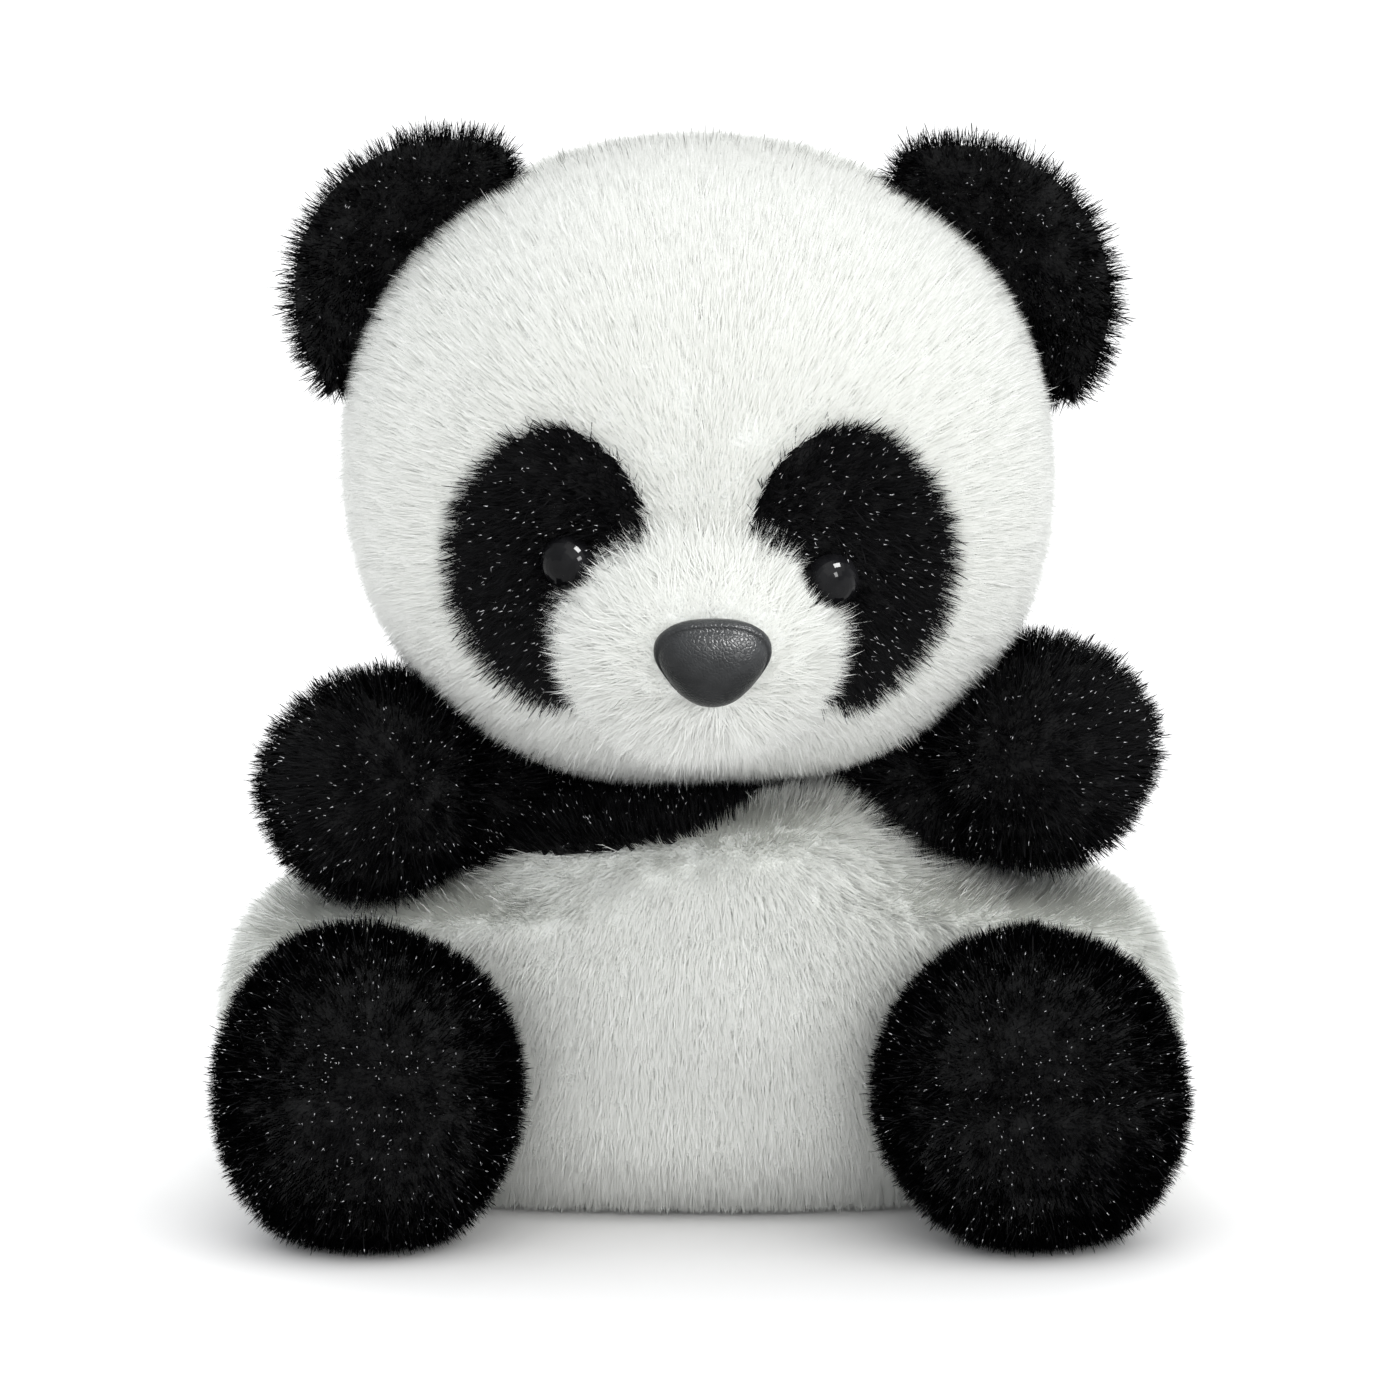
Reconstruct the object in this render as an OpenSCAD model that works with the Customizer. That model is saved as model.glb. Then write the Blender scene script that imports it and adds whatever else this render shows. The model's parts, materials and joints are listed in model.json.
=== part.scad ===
// A palm-sized sitting plush panda: sewn skins over stuffing, with a bean-bag seat.
// Millimetres, +Z up. The panda faces -Y, and its own left side is +X.
// The origin is on the surface that it sits on, below the middle of the body.

/* [Fabric] */
// Thickness of a sewn skin: backing cloth and the dense foot of its pile
skin_t = 1.2; // [1:0.1:1.5]
// Gap that is left between two skins at a seam
seam_gap = 0.3; // [0.2:0.1:0.5]

/* [Head] */
// Width of the head over its skins
head_w = 78; // [76:0.5:80]
// Depth of the head from the face to the back, without the muzzle
head_d = 66; // [64:0.5:68]
// Height of the head over its skins
head_h = 69.6; // [68:0.2:70]
// Height of the middle of the head
head_z = 85; // [85:0.5:88]
// How far the middle of the head leans forward of the body
head_lean = 6; // [5:0.5:8]
// How far the muzzle stands out of the face
muzzle_out = 8.5; // [6:0.5:10]

/* [Face] */
// Angle of each eye patch to the side of the face
patch_turn = 30.5; // [29:0.5:32]
// Angle of each eye patch below the middle of the head
patch_drop = 13; // [12:0.5:15]
// Angular radius of the muzzle's seam
muzzle_reach = 22; // [20:0.5:23]
// Angle of the muzzle below the middle of the head
muzzle_drop = 28; // [26:0.5:30]
// Diameter of a safety eye's dome
eye_d = 6.4; // [5:0.2:8]
// Width of the moulded nose
nose_w = 13; // [11:0.5:14]
// Diameter of the shank of the eyes and of the nose
shank_d = 3; // [2.5:0.1:3.5]

/* [Ears] */
// Radius of an ear's round edge
ear_r = 17.5; // [15:0.5:19]
// Angle of an ear above level, seen from the front
ear_rise = 36; // [34:0.5:40]
// How far an ear's edge curls forward
ear_cup = 3; // [1:0.5:4]

/* [Body] */
// Width of the bean-bag body at the hips
body_w = 105; // [103:0.5:106]
// How far the feet dent the front of the body
leg_dent = 8; // [7.5:0.5:9]

/* [Limbs] */
// Radius of an arm's round end
arm_r = 12; // [11:0.25:12.5]
// How far the left arm is raised from level
left_arm_rise = 20; // [10:1:25]
// How far the right arm is raised from level
right_arm_rise = 2; // [0:1:12]
// Radius of a foot
foot_r = 16.4; // [15:0.1:17]
// Distance of each foot from the middle of the body
foot_x = 37.6; // [37:0.2:39]
// Radius of the tail
tail_r = 5.5; // [4:0.5:6]

/* [Hidden] */

white_fur = "#eceeea";
black_fur = "#17171a";
filling = "#f4f2ea";
hard_black = "#0c0c0e";

// A superellipsoid with this power is a little fuller than an ellipsoid
head_power = 2.15;
head_c = [0, -head_lean, head_z];
// Gap between a filling and the skin round it
fill_gap = 1;

// Left and right are the panda's own
LEFT = 1;
RIGHT = -1;

// Rings of the body from its base to its top: half width as a share, front, back, height
body_rings = [
    [0.82, 15, 30, 0], [0.91, 20, 33, 3.2], [0.97, 25.5, 35.4, 9], [1, 28, 36.4, 17],
    [0.985, 29.4, 35.8, 24.2], [0.93, 29.2, 33.4, 30.3], [0.81, 28.2, 29, 34.1],
    [0.6, 26.8, 24.5, 37], [0.36, 24.6, 19.6, 40.7], [0.27, 21.4, 15.6, 44],
    [0.2, 16.8, 12, 46], [0.1, 9, 7, 46.9], [0.004, 0.3, 0.3, 47]
];
// The ring where the white body meets the black band over its top
band_ring = 8;
// Power of the body's outline seen from above
body_power = 2.3;
// Centre that the body's skins thicken towards
body_c = [0, 3, 22];
leg_z = 17.2;
leg_y = -34;
// Pivots of the limbs, in the middle of their sewn roots
hip_pivot = [35.6, -26, 17];
shoulder_pivot = [27, -5.6, 48];
root_r = 7.2;
// How far the middle of an arm's end is from its pivot: level, and forward. The right arm bends in more
left_arm_reach = 12.6;
left_arm_forward = 5;
right_arm_reach = 10;
right_arm_forward = 7.5;
// Depth of an arm and height of a foot, as shares of a ball's
arm_flat = 0.88;
foot_tall = 1.06;
// The neck's stuffing turns about this height
neck_z = 48;

// ---- vectors and surfaces ----

// Direction for an azimuth from the front towards +X, and an elevation
function ray(az, el) = [sin(az) * cos(el), -cos(az) * cos(el), sin(el)];

// Direction at the angle rho from the direction [az, el], towards the bearing th
function around(c, th, rho) =
    let(east = [cos(c[0]), sin(c[0]), 0],
        north = [-sin(c[0]) * sin(c[1]), cos(c[0]) * sin(c[1]), cos(c[1])])
    cos(rho) * ray(c[0], c[1]) + sin(rho) * (cos(th) * east + sin(th) * north);

function power(v, p) = sign(v) * pow(abs(v), p);
function mirror_x(p, side) = [p.x * side, p.y, p.z];
function inward(p, c, t) = c + (p - c) * (1 - t / norm(p - c));
function steps(n) = [for (i = [0:n]) i / n];

// Square [-1, 1] to the unit disc, with no pole in the middle
function disc(s, t) = [s * sqrt(1 - t * t / 2), t * sqrt(1 - s * s / 2)];

// Distance from the origin to a sphere's far side, along d
function exit_of(c, r, d) = (c * d) + sqrt(max(0, pow(c * d, 2) - c * c + r * r));

// Faces of a closed sheet: an outer grid, an inner grid, and the walls between their edges
function grid_faces(rows, cols, ring, turn) =
    let(n = rows * cols,
        last = ring ? cols - 1 : cols - 2,
        quad = function(a, b, c, d) turn ? [[a, c, b], [a, d, c]] : [[a, b, c], [a, c, d]])
    [
        for (i = [0:rows - 2], j = [0:last])
            let(k = (j + 1) % cols, a = i * cols + j, b = i * cols + k)
            each concat(quad(a, b, b + cols, a + cols),
                        quad(a + cols + n, b + cols + n, b + n, a + n)),
        for (j = [0:last])
            let(k = (j + 1) % cols, m = (rows - 1) * cols)
            each concat(quad(j + n, k + n, k, j), quad(m + j, m + k, m + k + n, m + j + n)),
        if (!ring) for (i = [0:rows - 2])
            let(a = i * cols, b = a + cols - 1)
            each concat(quad(a, a + cols, a + cols + n, a + n),
                        quad(b + n, b + cols + n, b + cols, b))
    ];

// A sewn panel: a closed solid between two grids of points
module sheet(outer, inner, ring = false) {
    rows = len(outer);
    cols = len(outer[0]);
    i = floor(rows / 2);
    across = outer[i][1] - outer[i][0];
    along = outer[i - 1][0] - outer[i][0];
    turn = cross(across, along) * (outer[i][0] - inner[i][0]) < 0;
    points = concat([for (r = outer) each r], [for (r = inner) each r]);
    polyhedron(points, grid_faces(rows, cols, ring, turn));
}

// A closed lump, given as a function from a direction to a point
module lump(at, turns = 20, levels = 10) {
    body = [for (j = [1:levels - 1], i = [0:turns - 1])
        at(ray(360 * i / turns, -90 + 180 * j / levels))];
    bottom = len(body);
    top = bottom + 1;
    last = (levels - 2) * turns;
    polyhedron(
        concat(body, [at([0, 0, -1]), at([0, 0, 1])]),
        [
            for (i = [0:turns - 1]) let(k = (i + 1) % turns) each [
                [bottom, i, k], [top, last + k, last + i],
                for (j = [0:levels - 3]) each [
                    [j * turns + i, (j + 1) * turns + i, (j + 1) * turns + k],
                    [j * turns + i, (j + 1) * turns + k, j * turns + k]
                ]
            ]
        ]
    );
}

// ---- head ----

function head_radius(d) =
    1 / pow(pow(abs(d.x) * 2 / head_w, head_power) + pow(abs(d.y) * 2 / head_d, head_power)
            + pow(abs(d.z) * 2 / head_h, head_power), 1 / head_power);

// Elevations of the chin gusset's and the back panels' edges
head_bottom = -62;
chin_top = -51.5;
back_top = 87;
// Azimuth where the face panels meet the back panels, and the seams' share of it
side_az = 90;
seam_az = 0.6;

muzzle_dir = ray(0, -muzzle_drop);
function muzzle_angle(d) = acos(min(1, d * muzzle_dir));
function muzzle_radius(d) =
    let(share = min(1, muzzle_angle(d) / muzzle_reach))
    head_radius(d) + skin_t + seam_gap + muzzle_out * pow(1 - share * share, 0.7);

function head_point(d, inset = 0) = head_c + d * (head_radius(d) - inset);
function muzzle_point(d, inset = 0) = head_c + d * (muzzle_radius(d) - inset);

// An eye patch is a slanting oval, cut short where it meets the muzzle
patch_long = 29.2;
patch_short = 19.2;
patch_slant = 73;
function patch_c(side) = [side * patch_turn, -patch_drop];
function patch_oval(side, th) =
    let(a = side > 0 ? th : 180 - th, b = a + patch_slant)
    patch_long * patch_short
        / sqrt(pow(patch_short * cos(b), 2) + pow(patch_long * sin(b), 2));

// Angle out of the patch's centre at which the bearing th first leaves the side of the face
function on_face(side, d) =
    d.x * side > 0.006 && -d.y > 0.006 && d.z > -0.77 && muzzle_angle(d) > muzzle_reach - 1.5;
function face_edge(side, th, rho = 1) =
    rho > 130 || !on_face(side, around(patch_c(side), th, rho)) ? rho
        : face_edge(side, th, rho + 0.5);
function patch_edge(side, th) = min(patch_oval(side, th), face_edge(side, th) - 0.5);

module head_sheet(grid, ring = false) {
    sheet([for (r = grid) [for (d = r) head_point(d)]],
          [for (r = grid) [for (d = r) head_point(d, skin_t)]], ring);
}

module eye_patch(side) {
    grid = [for (s = steps(8)) [for (t = steps(8))
        let(p = disc(2 * s - 1, 2 * t - 1), th = atan2(p.y, p.x))
        around(patch_c(side), th, norm(p) * (patch_edge(side, th) - 0.5))]];
    difference() {
        head_sheet(grid);
        eye_frame(side) translate([0, 0, -5]) cylinder(h = 10, d = shank_d, $fn = 32);
    }
}

module face(side) {
    grid = [for (s = steps(6)) [for (i = [0:35])
        let(th = 10 * i, near = patch_edge(side, th),
            far = max(near + 1.2, face_edge(side, th) - 0.5))
        around(patch_c(side), th, near + s * (far - near))]];
    head_sheet(grid, true);
}

module chin_gusset() {
    reach = side_az - 2;
    head_sheet([for (s = steps(3)) [for (t = steps(14))
        ray(reach * (2 * t - 1), head_bottom + s * (chin_top - head_bottom))]]);
}

module head_back(side) {
    head_sheet([for (s = steps(12)) [for (t = steps(7))
        ray(side * (side_az + seam_az + t * (90 - 2 * seam_az)),
            head_bottom + s * (back_top - head_bottom))]]);
}

module muzzle(side) {
    grid = [for (s = steps(5)) [for (t = steps(8))
        let(p = disc(s, 2 * t - 1), th = side > 0 ? atan2(p.y, p.x) : 180 - atan2(p.y, p.x))
        around([side * 0.4, -muzzle_drop], th, norm(p) * muzzle_reach)]];
    sheet([for (r = grid) [for (d = r) muzzle_point(d)]],
          [for (r = grid) [for (d = r) muzzle_point(d, skin_t)]]);
}

module muzzle_stuffing() {
    grid = [for (s = steps(8)) [for (t = steps(8))
        let(p = disc(2 * s - 1, 2 * t - 1))
        around([0, -muzzle_drop], atan2(p.y, p.x), norm(p) * (muzzle_reach - 3.5))]];
    sheet([for (r = grid) [for (d = r) muzzle_point(d, skin_t + fill_gap)]],
          [for (r = grid) [for (d = r) head_point(d, skin_t)]]);
}

module head_stuffing() {
    lump(function(d) head_point(d, skin_t + fill_gap));
}

// Places its children on the head's skin with +Z pointing out and +Y pointing up
module on_head(az, el, out) {
    d = ray(az, el);
    translate(head_c + d * out) rotate([0, 90 - el, az - 90]) rotate([0, 0, 90]) children();
}

// The eyes sit near the inner edge of their patches, and the right one a little higher
eye_turn = 25.5;
left_eye_drop = 14.2;
right_eye_drop = 10.6;
shank_depth = 9;
module eye_frame(side) {
    az = side * eye_turn;
    el = side > 0 ? -left_eye_drop : -right_eye_drop;
    on_head(az, el, head_radius(ray(az, el))) children();
}

module eye(side) {
    eye_frame(side) rotate_extrude($fn = 48) polygon([
        [0, -shank_depth], [shank_d / 2 - 0.3, -shank_depth],
        [shank_d / 2 - 0.1, 1 - shank_depth], [shank_d / 2 - 0.1, 0.1],
        [eye_d / 2, 0.1], for (a = [0:10:90]) [eye_d / 2 * cos(a), 0.7 + 2.5 * sin(a)]
    ]);
}

module washer(bore_d, outer_d, depth) {
    translate([0, 0, -depth]) difference() {
        cylinder(h = 1, d = outer_d, $fn = 48);
        translate([0, 0, -1]) cylinder(h = 3, d = bore_d, $fn = 32);
    }
}

module eye_washer(side) {
    eye_frame(side) washer(shank_d, 9, 4);
}

nose_az = 2;
nose_el = -20.5;
nose_out = muzzle_radius(ray(nose_az, nose_el));

module nose() {
    on_head(nose_az, nose_el, nose_out) {
        hull() {
            for (x = [-1, 1])
                translate([x * (nose_w / 2 - 3.4), 1.7, 1]) sphere(r = 3.3, $fn = 24);
            translate([0, -2, 1]) sphere(r = 3.1, $fn = 24);
        }
        translate([0, 0, -12]) cylinder(h = 13, d = shank_d, $fn = 32);
    }
}

module nose_washer() {
    on_head(nose_az, nose_el, nose_out) washer(shank_d, 11, 7);
}

// ---- ears ----

// Point on the head's outline, seen from the front, at the elevation el
function head_rim(el, out) =
    let(d = [cos(el), 0, sin(el)])
    head_c + d * (head_radius(d) + out);
ear_gap = 1.3;
ear_half = 1.9;

// Half angles of an ear's outline: of its round edge, and of its root on the head
ear_span = 75;
ear_root_span = 25.5;

// One cloth of an ear: s goes out from the seam, a along it; y0 and y1 are its faces
module ear_cloth(side, y0, y1) {
    n = [cos(ear_rise), 0, sin(ear_rise)];
    t = [-sin(ear_rise), 0, cos(ear_rise)];
    c = head_rim(ear_rise, -3.4);
    at = function(s, a, y)
        let(rim = c + ear_r * (cos(a) * n + sin(a) * t),
            root = head_rim(ear_rise + ear_root_span * sin(a), ear_gap),
            flat = root + s * (rim - root),
            puff = y * (1 + 0.5 * sin(180 * s)) * (1 - 0.35 * s))
        mirror_x(flat + [0, puff - ear_cup * s * s, 0], side);
    grid = function(y) [for (s = steps(5)) [for (t = steps(12))
        at(s, ear_span * (2 * t - 1), y)]];
    sheet(grid(y0), grid(y1));
}

module ear_front(side) {
    ear_cloth(side, -ear_half, -0.15);
}

module ear_back(side) {
    ear_cloth(side, ear_half, 0.15);
}

// ---- body ----

function dent(x, z) = leg_dent * exp(-pow((abs(x) - 36) / 15, 2) - pow((z - 18) / 15, 2));

// Azimuths of the seams beside the belly and beside the back, and half a seam
belly_az = 55;
back_az = 120;
half_seam = 0.3;

// Point of the body at the azimuth az on a ring
function body_point(ring, az, inset = 0) =
    let(x = body_w / 2 * ring[0] * power(sin(az), 2 / body_power),
        c = power(cos(az), 2 / body_power),
        y = c > 0 ? -ring[1] * c + dent(x, ring[3]) * min(1, 4 * c) : -ring[2] * c,
        p = [x, y, ring[3]])
    inset == 0 ? p : inward(p, body_c, inset);

module body_sheet(from_ring, to_ring, az_a, az_b, columns) {
    grid = function(inset) [for (i = [from_ring:to_ring]) [for (t = steps(columns))
        body_point(body_rings[i], az_a + t * (az_b - az_a), inset)]];
    sheet(grid(0), grid(skin_t));
}

module belly_panel() {
    body_sheet(0, band_ring, half_seam - belly_az, belly_az - half_seam, 14);
}

module hip_panel(side) {
    body_sheet(0, band_ring, side * (belly_az + half_seam), side * (back_az - half_seam), 8);
}

module back_panel(side) {
    body_sheet(0, band_ring, side * (back_az + half_seam), side * (180 - half_seam), 8);
}

// The black band starts just above the white panels
function ring_between(a, b, t) = [for (k = [0:3]) a[k] + t * (b[k] - a[k])];
band_start = ring_between(body_rings[band_ring], body_rings[band_ring + 1], 0.12);
band_rings = [band_start, for (i = [band_ring + 1:11]) body_rings[i]];

module shoulder_band(az) {
    reach = 90 - half_seam;
    grid = function(inset) [for (r = band_rings) [for (t = steps(16))
        body_point(r, az + reach * (2 * t - 1), inset)]];
    sheet(grid(0), grid(skin_t));
}

base_share = 0.955;
base_outline = [for (i = [0:47]) let(p = body_point(body_rings[0], 7.5 * i)) [p.x, p.y] * base_share];

module base_panel() {
    linear_extrude(skin_t) polygon(base_outline);
}

// A slice of the body's inside between two heights, flat above and below
function body_ring_at(z) =
    let(i = max([for (k = [0:len(body_rings) - 2]) if (body_rings[k][3] <= z) k]),
        a = body_rings[i], b = body_rings[i + 1])
    ring_between(a, b, (z - a[3]) / (b[3] - a[3]));

// The filling takes the space between the bean pouch and the skins
pouch_top = 17;
module torso_stuffing() {
    turns = 36;
    rings = [for (r = body_rings) [for (i = [0:turns - 1])
        body_point(r, 360 * i / turns, skin_t + fill_gap)]];
    n = len(rings);
    bottom = n * turns;
    difference() {
        polyhedron(
            concat([for (r = rings) each r], [[0, 3, 2], [0, 3, rings[n - 1][0].z]]),
            [for (i = [0:turns - 1]) let(k = (i + 1) % turns) each [
                [bottom, k, i],
                [bottom + 1, (n - 1) * turns + i, (n - 1) * turns + k],
                for (j = [0:n - 2]) let(a = j * turns)
                    each [[a + i, a + k + turns, a + i + turns], [a + i, a + k, a + k + turns]]
            ]]
        );
        translate([-body_w, -body_w, -1])
            cube([2 * body_w, 2 * body_w, pouch_top + fill_gap + 1]);
    }
}

// The bean pouch is two cloths sewn round their edge, with the beans inside
pouch_t = 0.5;
pouch_mid = 9;
pouch_share = 0.9;
module pouch_cloth(edge_z, tip_z) {
    turns = 24;
    grid = function(cut) [for (s = [1, 0.9, 0.8, 0.6, 0.3, 0.05]) [for (i = [0:turns - 1])
        let(p = body_point(body_rings[2], 360 * i / turns) * pouch_share * s,
            rise = (edge_z - tip_z) * pow(s, 5) + tip_z)
        [p.x, p.y, rise + cut]]];
    sheet(grid(0), grid(edge_z < tip_z ? -pouch_t : pouch_t), true);
}

module bean_pouch_top() {
    pouch_cloth(pouch_mid + pouch_t, pouch_top);
}

module bean_pouch_bottom() {
    pouch_cloth(pouch_mid - pouch_t, skin_t + 0.4);
}

// Beans lie in two layers of rows, inside an oval that stays clear of the pouch's edge
bean_d = 3.8;
bean_pitch = 6.2;
bean_rows = 0.87;
bean_z = [5.6, 10.8];
bean_reach = [30, 17];
module bean_pellets() {
    for (k = [0:1], i = [-6:6], j = [-4:4]) {
        x = (i + 0.5 * (abs(j + k) % 2)) * bean_pitch;
        y = j * bean_pitch * bean_rows;
        if (pow(x / bean_reach[0], 2) + pow(y / bean_reach[1], 2) < 1)
            translate([x, y + body_c.y, bean_z[k]]) sphere(d = bean_d, $fn = 16);
    }
}

stitch_count = 7;
stitch_pitch = 3;
stitch_w = 2.6;
stitch_d = 0.5;
first_stitch_z = 14;
module closing_stitches() {
    for (i = [0:stitch_count - 1]) {
        ring = body_ring_at(first_stitch_z + stitch_pitch * i);
        translate([0, ring[2] + 0.9, ring[3]])
            rotate([0, 90, 0]) cylinder(h = stitch_w, d = stitch_d, center = true, $fn = 16);
    }
}

label_w = 11;
label_t = 0.5;
label_h = 8;
label_x = -22;
label_z = 5;
label_turn = 12;
module sewn_label() {
    translate([label_x, body_ring_at(label_z + 1)[2] + 0.4, label_z]) rotate([0, 0, label_turn])
        cube([label_w, label_t, label_h], center = true);
}

// ---- neck ----

module neck_stuffing() {
    translate([0, 0, neck_z]) rotate_extrude($fn = 48)
        polygon([[0, -0.7], [5, -0.7], [6, -0.3], [6, 0.4], [5, 0.9], [0, 0.9]]);
}

// ---- arms ----

// Vector from an arm's pivot to the middle of its round end, mirrored to the left side
function arm_vector(side) =
    side > 0 ? [left_arm_reach * cos(left_arm_rise), -left_arm_forward,
                left_arm_reach * sin(left_arm_rise)]
             : [right_arm_reach * cos(right_arm_rise), -right_arm_forward,
                right_arm_reach * sin(right_arm_rise)];

function arm_point(side, d, inset) =
    let(v = arm_vector(side),
        m = v / 2,
        e = mirror_x(d, side),
        k = max(exit_of(-m, root_r, e), exit_of(m, arm_r, e)) - inset)
    mirror_x(shoulder_pivot + m + [e.x * k, e.y * k * arm_flat, e.z * k], side);

// Directions over nearly half of a ball, in a grid round the direction c
half_ball = 89.2;
function half_grid(c) = [for (s = steps(10)) [for (t = steps(10))
    let(p = disc(2 * s - 1, 2 * t - 1))
    around(c, atan2(p.y, p.x), norm(p) * half_ball)]];

module arm_cloth(side, az) {
    grid = half_grid([az, 0]);
    sheet([for (r = grid) [for (d = r) arm_point(side, d, 0)]],
          [for (r = grid) [for (d = r) arm_point(side, d, skin_t)]]);
}

// The arm's filling is hollow round the shoulder's own ball of filling
shoulder_r = 4.2;
module arm_stuffing(side) {
    difference() {
        lump(function(d) arm_point(side, d, skin_t + fill_gap));
        translate(mirror_x(shoulder_pivot, side)) sphere(r = shoulder_r + 0.4, $fn = 32);
    }
}

module shoulder_stuffing(side) {
    translate(mirror_x(shoulder_pivot, side)) sphere(r = shoulder_r, $fn = 32);
}

// ---- legs ----

function leg_point(side, d, inset) =
    let(c = [foot_x, leg_y, leg_z],
        e = mirror_x(d, side),
        k = max(exit_of([0, 0, 0], foot_r, e), exit_of(hip_pivot - c, root_r, e)) - inset,
        p = c + [e.x * k, e.y * k, e.z * k * foot_tall])
    mirror_x([p.x, p.y, max(p.z, inset)], side);

module leg_cloth(side, el) {
    grid = half_grid([0, el]);
    sheet([for (r = grid) [for (d = r) leg_point(side, d, 0)]],
          [for (r = grid) [for (d = r) leg_point(side, d, skin_t)]]);
}

module leg_stuffing(side) {
    lump(function(d) leg_point(side, d, skin_t + fill_gap));
}

// ---- tail ----

tail_z = 13;
tail_gap = 1.2;
tail_c = [0, body_ring_at(tail_z)[2] + tail_gap + tail_r, tail_z];
module tail_skin() {
    grid = function(inset) [for (s = steps(10)) [for (i = [0:17])
        tail_c + around([180, 0], 20 * i, 4 + 136 * s) * (tail_r - inset)]];
    sheet(grid(0), grid(skin_t), true);
}

module tail_stuffing() {
    lump(function(d) tail_c + d * (tail_r - skin_t - fill_gap));
}

color(white_fur) face(LEFT);  // face_left
color(white_fur) face(RIGHT);  // face_right
color(black_fur) eye_patch(LEFT);  // eye_patch_left
color(black_fur) eye_patch(RIGHT);  // eye_patch_right
color(white_fur) chin_gusset();
color(white_fur) muzzle(LEFT);  // muzzle_left
color(white_fur) muzzle(RIGHT);  // muzzle_right
color(white_fur) head_back(LEFT);  // head_back_left
color(white_fur) head_back(RIGHT);  // head_back_right
color(filling) head_stuffing();
color(filling) muzzle_stuffing();
color(hard_black) nose();
color(filling) nose_washer();
color(hard_black) eye(LEFT);  // eye_left
color(hard_black) eye(RIGHT);  // eye_right
color(filling) eye_washer(LEFT);  // eye_washer_left
color(filling) eye_washer(RIGHT);  // eye_washer_right
color(black_fur) ear_front(LEFT);  // ear_left_front
color(black_fur) ear_back(LEFT);  // ear_left_back
color(black_fur) ear_front(RIGHT);  // ear_right_front
color(black_fur) ear_back(RIGHT);  // ear_right_back
color(filling) neck_stuffing();
color(white_fur) belly_panel();
color(white_fur) hip_panel(LEFT);  // hip_panel_left
color(white_fur) hip_panel(RIGHT);  // hip_panel_right
color(white_fur) back_panel(LEFT);  // back_panel_left
color(white_fur) back_panel(RIGHT);  // back_panel_right
color(black_fur) shoulder_band(0);  // shoulder_band_front
color(black_fur) shoulder_band(180);  // shoulder_band_back
color(white_fur) base_panel();
color(filling) torso_stuffing();
color(filling) bean_pouch_top();
color(filling) bean_pouch_bottom();
color("#d8d8d0") bean_pellets();
color(white_fur) closing_stitches();
color("#f8f8f6") sewn_label();
color(filling) shoulder_stuffing(LEFT);  // shoulder_stuffing_left
color(filling) shoulder_stuffing(RIGHT);  // shoulder_stuffing_right
color(black_fur) arm_cloth(LEFT, 0);  // arm_left_front
color(black_fur) arm_cloth(LEFT, 180);  // arm_left_back
color(filling) arm_stuffing(LEFT);  // arm_left_stuffing
color(black_fur) arm_cloth(RIGHT, 0);  // arm_right_front
color(black_fur) arm_cloth(RIGHT, 180);  // arm_right_back
color(filling) arm_stuffing(RIGHT);  // arm_right_stuffing
color(black_fur) leg_cloth(LEFT, 90);  // leg_left_upper
color(black_fur) leg_cloth(LEFT, -90);  // leg_left_lower
color(filling) leg_stuffing(LEFT);  // leg_left_stuffing
color(black_fur) leg_cloth(RIGHT, 90);  // leg_right_upper
color(black_fur) leg_cloth(RIGHT, -90);  // leg_right_lower
color(filling) leg_stuffing(RIGHT);  // leg_right_stuffing
color(white_fur) tail_skin();
color(filling) tail_stuffing();
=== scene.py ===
"""A palm-sized plush panda. Its fur is grown as real strands on sewn, stuffed skins around the CAD frame.

Shapes are worked out in millimetres in the frame's own axes: +Z up, the panda faces -Y, its left is +X."""
import json
import math
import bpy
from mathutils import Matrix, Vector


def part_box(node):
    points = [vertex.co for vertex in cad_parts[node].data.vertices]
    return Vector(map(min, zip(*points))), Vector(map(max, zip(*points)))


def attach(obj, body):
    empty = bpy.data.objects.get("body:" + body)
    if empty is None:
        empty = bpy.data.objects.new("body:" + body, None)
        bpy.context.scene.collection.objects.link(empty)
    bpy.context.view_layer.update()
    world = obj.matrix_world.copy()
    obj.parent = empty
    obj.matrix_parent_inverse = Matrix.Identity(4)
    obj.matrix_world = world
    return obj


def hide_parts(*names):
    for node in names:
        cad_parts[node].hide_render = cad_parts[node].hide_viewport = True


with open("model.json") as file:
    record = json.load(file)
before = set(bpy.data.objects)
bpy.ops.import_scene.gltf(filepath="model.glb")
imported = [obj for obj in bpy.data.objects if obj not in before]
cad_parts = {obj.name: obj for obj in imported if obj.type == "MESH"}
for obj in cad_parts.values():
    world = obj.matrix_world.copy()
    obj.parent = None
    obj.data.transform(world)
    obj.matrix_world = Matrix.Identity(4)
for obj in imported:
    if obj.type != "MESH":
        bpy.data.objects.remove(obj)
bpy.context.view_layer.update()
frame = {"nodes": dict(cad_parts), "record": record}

import bmesh
import bpy
import numpy as np
from mathutils import Vector

MM = 0.001
LEFT, RIGHT = 1, -1
SIDES = {"left": LEFT, "right": RIGHT}
# Thickness of the CAD skins, and the gap between them and their filling
SKIN = 1.2
FILL_GAP = 1.0
# Lowest that a skin and its pile may reach, just clear of the floor
SKIN_LOW, PILE_LOW = 0.25, 0.15
scene = bpy.context.scene


# ---------------------------------------------------------------- small maths


def unit(v):
    return v / np.maximum(np.linalg.norm(v, axis=-1, keepdims=True), 1e-9)


def smooth(a, b, x):
    t = np.clip((x - a) / (b - a), 0, 1)
    return t * t * (3 - 2 * t)


def ray(azimuth, elevation):
    """Direction for an azimuth from the front towards +X, and an elevation, in degrees."""
    a, e = math.radians(azimuth), math.radians(elevation)
    return np.array([math.sin(a) * math.cos(e), -math.cos(a) * math.cos(e), math.sin(e)])


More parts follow.
